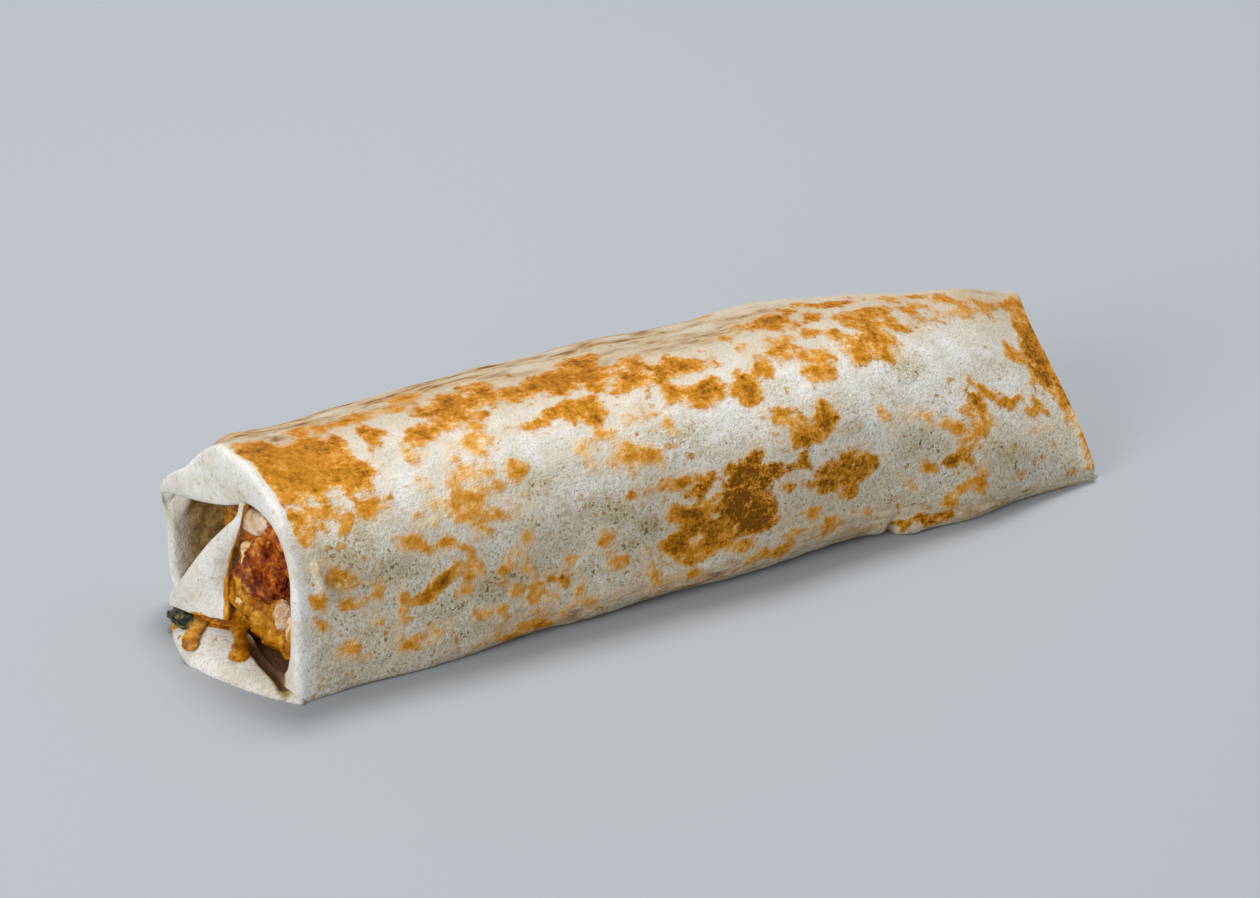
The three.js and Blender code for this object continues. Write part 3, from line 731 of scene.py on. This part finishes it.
        (28, 128, 6, 4, 0.45), (44, 156, 5, 6, 0.8), (-6, 140, 10, 7, 0.7), (56, 200, 15, 12, 0.9),
        (88, 158, 12, 7, 0.6), (0, 150, 12, 6, 0.6), (57, 140, 6, 6, 0.45), (98, 130, 8, 6, 0.5),
        (24, 200, 10, 9, 0.8),
    ],
}


def paint(piece, fields):  # values that the mesh carries for its material
    for name, values in fields.items():
        layer = piece.data.attributes.new(name, "FLOAT", "POINT")
        layer.data.foreach_set("value", np.asarray(values, np.float32))


def raggedAt(stations, along, around, layer):  # noise over the roll, its grain in mm along and degrees around
    return np.array([noise.noise(Vector((s[0] / along, s[1] / around, layer))) for s in stations])


def ramp(values, start, end):
    return np.clip((values - start) / (end - start), 0, 1)


def paintTortilla(piece, stations):
    # stations holds each vertex's place along and around the roll, how far it is outside, and how soaked it
    # is, with painted shade of the gap under the filling
    x, turn, outside, soakAndShade = np.array(stations).T
    x = x + 2 * raggedAt(stations, 6, 11, 1)
    turn = turn + 4 * raggedAt(stations, 6, 11, 7)
    reach = toastPlan["depth"]
    best = np.full(len(x), -float(reach))
    weights = np.full(len(x), 1e-6)
    tones = np.zeros(len(x))
    for at, middle, along, around, tone, *slant in toastPlan["patches"]:
        away = np.hypot((x - at - sum(slant) * (turn - middle)) / along, (turn - middle) / around)
        depth = (1 - away) * min(along, around * 0.55) + toastPlan["grow"]
        best = np.maximum(best, depth)
        weight = np.exp(np.clip(depth, -8, 4) / toastPlan["blend"])
        weights += weight
        tones += weight * tone
    best = np.clip(best * outside - reach * (1 - outside), -reach, reach)
    mottle = 0.05 + 0.3 * ramp(turn, 125, 150) + 0.3 * ramp(turn, 158, 180)  # strongest low on the front
    mottle *= ramp(x, -117, -111) * ramp(turn, 350, 260)
    mottle += 0.25 * ramp(turn, 60, 0)
    for at, middle, along, around, strength in toastPlan["mottles"]:
        away = np.hypot((x - at) / along, (turn - middle) / around)
        mottle = np.maximum(mottle, strength * np.clip(1.4 - away, 0, 1))
    creased = np.zeros(len(x))
    broken = np.clip(0.75 + 1.6 * raggedAt(stations, 13, 7, 12), 0, 1)
    for start, end, low, high, strength in toastPlan["wrinkles"]:
        along = ramp(x, start, start + 10) * ramp(x, end, end - 10)
        around = ramp(turn, low, low + 7) * ramp(turn, high, high - 5)
        creased = np.maximum(creased, strength * along * around * broken)
    paint(piece, {
        # painted shade: the upper back is given a darker colour
        "upperBackShade": 0.8 * ramp(turn, 20, 40) * ramp(turn, 122, 92) * outside,  # duller over the upper back
        "browned": 0.5 + best / (2 * reach),
        "tone": tones / weights,
        "mottle": mottle * outside,
        "creased": creased * outside,
        "soakAndShade": soakAndShade,
    })


def addRoll():
    rings = sum(ringPlan[k] for k in ("cap", "body", "rim", "wall", "inner"))
    bm = bmesh.new()
    bmesh.ops.create_uvsphere(bm, u_segments=rollPlan["around"], v_segments=rings, radius=1)
    stations = []
    outerEnd = ringPlan["cap"] + ringPlan["body"]
    for vertex in bm.verts:
        ring, turn = ringAndTurn(vertex.co, rings)
        point = rollStation(ring, turn)
        onOutside = 1 - ease(ring, outerEnd + 2, outerEnd + 9) if ring > ringPlan["cap"] * 0.8 else 0.0
        degrees = math.degrees(turn) % 360
        underHood = within(degrees, 20, 50, 150, 175)
        # more soak low on the inner wall: sauce stain and painted shade of the gap under the filling
        low = within(degrees, 222, 232, 300, 330)
        inner = outerEnd + ringPlan["rim"] * (0.82 - 0.5 * low)
        soakAndShade = ease(ring, inner, inner + 0.28 * ringPlan["rim"]) * (1 - 0.6 * underHood + 0.8 * low)
        stations.append((point.x, degrees, onOutside, soakAndShade))
        vertex.co = inFrame(point)
    turnOutwards(bm)
    piece = toPiece(bm, "tortillaRoll", "tortilla", "tortilla")
    paintTortilla(piece, stations)


addRoll()
print("roll made")


# folded-in layers: a sheet between two edge curves, thickened and rounded
def thicken(piece, thickness, towards):  # towards: the way the sheet's good side looks
    outwards = sum((f.normal * f.area for f in piece.data.polygons), Vector())
    if outwards.dot(Vector(towards)) < 0:
        piece.data.flip_normals()
    solid = piece.modifiers.new("sheetThickness", "SOLIDIFY")
    solid.thickness = thickness * 0.001
    solid.offset = -1
    soft = piece.modifiers.new("softEdges", "SUBSURF")
    soft.levels = 1
    soft.render_levels = 1


def addSheet(name, place, stain, across, up, thickness, towards):
    bm = bmesh.new()
    bmesh.ops.create_grid(bm, x_segments=across, y_segments=up, size=0.5)
    stains = []
    for vertex in bm.verts:
        s, t = vertex.co.x + 0.5, vertex.co.y + 0.5
        stains.append(stain(s, t))
        vertex.co = inFrame(place(s, t))
    piece = toPiece(bm, name, "tortilla", "tortilla")
    paint(piece, {"sauced": stains})
    thicken(piece, thickness, towards)


gussetPlan = {
    "foldLine": [
        (-128.6, 20.2, 6.8),
        (-128.4, 20, 9.5),
        (-127.4, 18, 13),
        (-124.6, 14, 20.6),
        (-122, 9.4, 28),
        (-119.8, 5, 33.6),
        (-118.4, 0.6, 38.6),
        (-118, -0.6, 43.5),
    ],
    "slotEdge": [
        (-119.4, 5, 4.4),
        (-118.6, 5.8, 9.6),
        (-118, 6.8, 14.8),
        (-118, 5.6, 21.6),
        (-118, 3.2, 27.6),
        (-117.9, 0.4, 33),
        (-117.9, -1.2, 38),
        (-117.9, -2.8, 43),
    ],
    "crown": 1.5,
    "crownWay": Vector((0.82, 0.56, 0.1)),  # into the roll
    "creases": 0.35,
    "thickness": 1.8,
}


def gussetAt(s, t):
    left = curveThrough(gussetPlan["foldLine"], t)
    right = curveThrough(gussetPlan["slotEdge"], t)
    rise = gussetPlan["crown"] * math.sin(math.pi * s) * math.sin(math.pi * min(1, 1.1 * t))
    point = left.lerp(right, s)
    crease = gussetPlan["creases"] * noise.noise(Vector((point.y / 3.5, point.z / 9, 5)))
    return point - gussetPlan["crownWay"] * (rise + crease)


def gussetStain(s, t):  # sauce along the slot and along the bottom
    ragged = 0.5 * noise.noise(Vector((s * 9, t * 14, 1)))
    slot = ease(s + 0.1 * ragged, 0.86, 1.0) * (1 - 0.5 * ease(t, 0.75, 0.95))
    bottom = (1 - ease(t + 0.05 * ragged, 0.02, 0.09)) * ease(s, 0.25, 0.5)
    return max(slot, bottom)


addSheet("gusset", gussetAt, gussetStain, 28, 48, gussetPlan["thickness"], (-1, -0.7, 0))

# the shelf: the bottom layer sticks out as a rounded tongue
shelfPlan = {
    "centre": (-116.6, 1.6),
    "reach": 16.2,
    "backEdge": 0.6,
    "halfWidth": 32.6,
    "height": 5.4,
    "rimHeight": 3.4,
    "corner": 1.3,
    "dents": 0.5,
    "groove": 2.4,
    "soakAndShade": 1.9,
}


def shelfAt(out, turn, above):
    c = math.cos(turn)
    h = math.sin(turn)
    corner = shelfPlan["corner"] + (0.25 if h > 0 else 0)
    outline = (abs(c) ** corner + abs(h) ** corner) ** (-1 / corner)
    x = shelfPlan["centre"][0] - c * outline * out * (shelfPlan["reach"] if c > 0 else shelfPlan["backEdge"])
    y = shelfPlan["centre"][1] + h * outline * out * shelfPlan["halfWidth"]
    top = shelfPlan["height"] + (shelfPlan["rimHeight"] - shelfPlan["height"]) * out ** 2
    top += shelfPlan["dents"] * noise.noise(Vector((x / 6, y / 6, 2)))
    top -= shelfPlan["groove"] * ease(x, -121, -119) * within(y, -28, -23, -8, -2)
    return Vector((x, y, top * max(0, 1 - out ** 6) ** 0.5 if above else 0))


def addShelf():
    bm = bmesh.new()
    bmesh.ops.create_uvsphere(bm, u_segments=120, v_segments=48, radius=1)
    stains = []
    soakAndShadeValues = []
    for vertex in bm.verts:
        out = min(1, math.hypot(vertex.co.x, vertex.co.y))
        turn = math.atan2(vertex.co.y, vertex.co.x)
        point = shelfAt(out, turn, vertex.co.z > 1e-5)
        vertex.co = inFrame(point)
        line = point.x + 124 + 0.62 * (point.y - 13)  # how far behind the gusset's foot, in mm
        stains.append((1 - ease(abs(line), 1.5, 4)) * ease(point.y, -1, 5))
        # the groove at the filling's foot: dark brown that is sauce stain and painted shade of the gap there
        hollow = ease(point.x, -121.5, -119.5) * within(point.y, -29, -24, -6, 0)
        soakAndShadeValues.append(shelfPlan["soakAndShade"] * hollow)
    turnOutwards(bm)
    piece = toPiece(bm, "shelf", "tortilla", "tortilla")
    paint(piece, {"sauced": stains, "soakAndShade": soakAndShadeValues, "mottle": np.full(len(stains), 0.2)})


addShelf()
print("folded layers made")

# the filling: one sauced mass through the roll, with its rough face at the open end; patches on the face are
# place across and up in mm, half-sizes and how strong
fillingPlan = {
    "face": 3.2,
    "slope": 0.62,
    "slopeFrom": 12.5,
    "undercut": 2.5,
    "around": 160,
    "faceRings": 90,
    "bodyRings": 10,
    "endRings": 4,
    "faceDepth": 13,
    "hollows": 2.2,
    "swelling": 2.4,
    "lumps": 1.7,
    "crust": [
        (-8, 36, 12, 7, 1), (-18, 34, 9, 9, 1), (-6, 28, 12, 8, 1), (-20, 26, 8, 6, 0.9),
        (4, 25, 5, 6, 0.9),
    ],
    "swollen": [(4, 14, 7, 10, 1), (-6, 10, 8, 5, 0.8)],
    "cream": [(-9, 20.5, 2.4, 1.4, 0.7), (-18.6, 16, 1.6, 5, 0.9), (3, 13, 2, 1.4, 0.6)],
    # deep: painted shade in the face's hollows and under the hood, which are also set back
    "deep": [
        (-14.4, 15.4, 1.8, 2.6, 1), (-9.5, 21.6, 1.4, 0.9, 0.9), (1, 8.4, 3.4, 2, 0.8),
        (-3, 46, 12, 4.4, 1),
    ],
}


def patchField(y, z, patches):  # how strongly the patches cover a place on the face
    best = 0
    for middleY, middleZ, halfY, halfZ, strength in patches:
        away = math.hypot((y - middleY) / halfY, (z - middleZ) / halfZ)
        best = max(best, strength * (1 - ease(away, 0.6, 1.15)))
    return best


def fillingFace(y, z):
    depth = fillingPlan["face"] + fillingPlan["slope"] * max(0, y - fillingPlan["slopeFrom"])
    depth += fillingPlan["undercut"] * (1 - ease(z, 2, 7)) * (1 - ease(y, -6, 4))
    depth += fillingPlan["hollows"] * patchField(y, z, fillingPlan["deep"])
    depth -= fillingPlan["swelling"] * patchField(y, z, fillingPlan["swollen"])
    lumps = fillingPlan["lumps"] * noise.fractal(Vector((y / 5.5, z / 5.5, 1)), 0.9, 2.1, 4)
    return rollPlan["openEnd"] + depth + max(-1.6, lumps)


def addFilling():
    inset = rollPlan["wall"] + rollPlan["gap"]
    end = rollPlan["shutEnd"] - rollPlan["shutRecess"] - inset
    faceRings = fillingPlan["faceRings"]
    rings = faceRings + fillingPlan["bodyRings"] + fillingPlan["endRings"]
    bm = bmesh.new()
    bmesh.ops.create_uvsphere(bm, u_segments=fillingPlan["around"], v_segments=rings, radius=1)
    fields = {"crust": [], "cream": [], "deep": []}
    for vertex in bm.verts:
        ring, turn = ringAndTurn(vertex.co, rings)
        point = rollPoint(rollPlan["openEnd"], turn, inset, min(1, ring / faceRings))
        if ring <= faceRings:
            point.x = fillingFace(point.y, point.z)
        else:
            slope = fillingPlan["slope"] * max(0, point.y - fillingPlan["slopeFrom"])
            begin = rollPlan["openEnd"] + slope + fillingPlan["faceDepth"]
            along = min(1, (ring - faceRings) / fillingPlan["bodyRings"])
            pull = min(1, (rings - ring) / fillingPlan["endRings"])
            point = rollPoint(begin + (end - begin) * along, turn, inset, pull)
        for name, values in fields.items():
            values.append(patchField(point.y, point.z, fillingPlan[name]))
        # painted shade at the filling's foot, over the gap above the shelf
        foot = 0.85 * (1 - ease(point.z, 2, 5)) * (1 - ease(point.y, -6, 4))
        fields["deep"][-1] = max(fields["deep"][-1], foot)
        vertex.co = inFrame(point)
    turnOutwards(bm)
    piece = toPiece(bm, "fillingSauced", "sauce", "filling")
    paint(piece, fields)


addFilling()


# lumps of chicken
def addLump(name, material, node, slot, centre, radii, turned, rough, grain, flecks=()):
    bm = bmesh.new()
    bmesh.ops.create_icosphere(bm, subdivisions=6, radius=1)
    seed = sum(centre)
    place = Matrix.Translation(Vector(centre)) @ Euler(turned).to_matrix().to_4x4()
    cream = []
    for vertex in bm.verts:
        unit = vertex.co.copy()
        dent = math.sin(5.1 * unit.x + 2) * math.sin(4.3 * unit.z + 1)
        dent += 0.6 * math.sin(7.7 * unit.y + 4 * unit.x)
        local = Vector((unit.x * radii[0], unit.y * radii[1], unit.z * radii[2]))
        crags = noise.fractal(local / grain + Vector((seed, 0, 0)), 0.8, 2.1, 4)
        local *= 1 + 0.06 * dent
        local += local.normalized() * rough * crags
        point = place @ local
        cream.append(patchField(point.y, point.z, flecks))
        vertex.co = inFrame(point)
    piece = toPiece(bm, name, material, node)
    paint(piece, {"cream": cream})


chickenPlan = {
    "chickenStrip": {
        "material": "crisp",
        "node": "chicken_strip",
        "slot": "chicken_crisp",
        "centre": (-113.8, -7.4, 26.4),
        "radii": (4.8, 14, 8.6),
        "turned": (-0.5, 0, 0),
        "rough": 1.6,
        "grain": 3,
        "flecks": [(-0.6, 28.8, 2.4, 4.4, 1)],
    },
    "chickenTip": {
        "material": "pale",
        "node": "chicken_tip",
        "slot": "chicken_pale",
        "centre": (-114.2, -3.6, 38),
        "radii": (3.4, 7.4, 3.6),
        "turned": (-0.3, 0, 0),
        "rough": 0.4,
        "grain": 3.4,
    },
    "chickenShred": {
        "material": "pale",
        "node": "chicken_shred",
        "slot": "chicken_pale",
        "centre": (-113.6, -16.6, 18.2),
        "radii": (3.2, 2.9, 5),
        "turned": (0.3, 0, 0),
        "rough": 0.7,
        "grain": 2.4,
    },
}
for name, plan in chickenPlan.items():
    addLump(name, **plan)

# runs of thick sauce: a way over the shelf with half-widths, and how thick the run is
saucePlan = {
    "sauceRunLeft": {
        "way": [
            (-119.5, 13.4, 6.4),
            (-122.6, 12.4, 5.8),
            (-125.2, 9.8, 5.5),
            (-128.2, 7, 5),
            (-130.6, 4, 4.3),
            (-131.9, 1.6, 3.6),
        ],
        "width": [2.4, 2.1, 1.8, 2, 2.3, 1.6],
        "thick": 0.6,
    },
    "sauceUnderGusset": {
        "way": [
            (-116.6, 3.4, 6.2),
            (-119.8, 6.6, 6.0),
            (-121.8, 9.4, 5.9),
            (-123.4, 12.4, 6.2),
        ],
        "width": [2.2, 1.7, 1.5, 0.9],
        "thick": 0.8,
    },
    "sauceRunRight": {
        "way": [
            (-114, 5.6, 8.5),
            (-116.8, 3, 6.8),
            (-119.2, -1, 5.7),
            (-121.4, -5.4, 5.4),
            (-123.2, -8.8, 5),
            (-124.2, -11, 4.6),
        ],
        "width": [4, 2.8, 1.9, 2.1, 2.8, 2.2],
        "thick": 0.75,
    },
}


def addRun(name, way, width, thick):
    bm = bmesh.new()
    bmesh.ops.create_uvsphere(bm, u_segments=40, v_segments=90, radius=1)
    widths = [(w, 0, 0) for w in width]
    for vertex in bm.verts:
        t = (1 - vertex.co.z) / 2
        swollen = math.sqrt(max(0, 1 - (2 * t - 1) ** 6))  # blunt at both ends
        turn = math.atan2(vertex.co.y, vertex.co.x)
        ahead = curveThrough(way, min(1, t + 0.02)) - curveThrough(way, max(0, t - 0.02))
        side = ahead.cross(Vector((0, 0, 1))).normalized()
        middle = curveThrough(way, t)
        lumps = 1 + 0.36 * noise.noise(middle / 2 + Vector((math.cos(turn), 0.7 * math.sin(turn), 3)))
        across = side * math.cos(turn) * curveThrough(widths, t).x * swollen * lumps
        vertex.co = inFrame(middle + across + Vector((0, 0, thick * math.sin(turn) * swollen * lumps)))
    turnOutwards(bm)
    toPiece(bm, name, "sauce", "tortilla")


for name, plan in saucePlan.items():
    addRun(name, **plan)
print("filling made")


# the leaf between the gusset and the shelf
def leafAt(s, t):
    length = s - 0.5
    taper = math.sqrt(1 - 0.85 * (2 * length) ** 2)
    across = (t - 0.5) * leafPlan["width"] * taper
    wave = 0.5 * math.sin(7 * length) + 0.3 * math.sin(9 * (t - 0.5) + 2 * length)
    ruffle = 0.35 * noise.noise(Vector((s * 9, t * 7, 2)))
    across -= leafPlan["outwards"] + 0.5 * math.sin(3 * length)  # bowed out of the slot
    rise = wave + ruffle - leafPlan["tilt"] * across
    return leafPlan["centre"] + Vector((across, length * leafPlan["length"], rise))


def addLeaf():
    bm = bmesh.new()
    bmesh.ops.create_grid(bm, x_segments=40, y_segments=24, size=0.5)
    for vertex in bm.verts:
        vertex.co = inFrame(leafAt(vertex.co.x + 0.5, vertex.co.y + 0.5))
    piece = toPiece(bm, "saladLeaf", "leaf", "leaf")
    thicken(piece, leafPlan["thickness"], (0, 0, 1))


addLeaf()
print("leaf made")

# floor and light: soft light from above and behind, and a pale sky all round
lightPlan = {
    "lamps": {
        "windowKey": {"at": Vector((230, 480, 1560)), "size": 0.6, "power": 22.5},
        "leftFill": {"at": Vector((-1500, -500, 700)), "size": 1.0, "power": 19},
    },
    "sky": 0.5,
}


def addStage():
    bm = bmesh.new()
    bmesh.ops.create_grid(bm, x_segments=1, y_segments=1, size=4)
    mesh = bpy.data.meshes.new("floor")
    bm.to_mesh(mesh)
    bm.free()
    floor = bpy.data.objects.new("floor", mesh)
    scene.collection.objects.link(floor)
    mesh.materials.append(materials["floor"])
    for name, plan in lightPlan["lamps"].items():
        lamp = bpy.data.lights.new(name, "AREA")
        lamp.size = plan["size"]
        lamp.energy = plan["power"]
        lit = bpy.data.objects.new(name, lamp)
        scene.collection.objects.link(lit)
        lit.location = plan["at"] * 0.001
        lit.rotation_euler = (-plan["at"]).to_track_quat("-Z", "Y").to_euler()
    world = bpy.data.worlds.new("paleSky")
    world.use_nodes = True
    world.node_tree.nodes["Background"].inputs["Color"].default_value = linear("#E8EDF2")
    world.node_tree.nodes["Background"].inputs["Strength"].default_value = lightPlan["sky"]
    scene.world = world


addStage()
print("stage set")
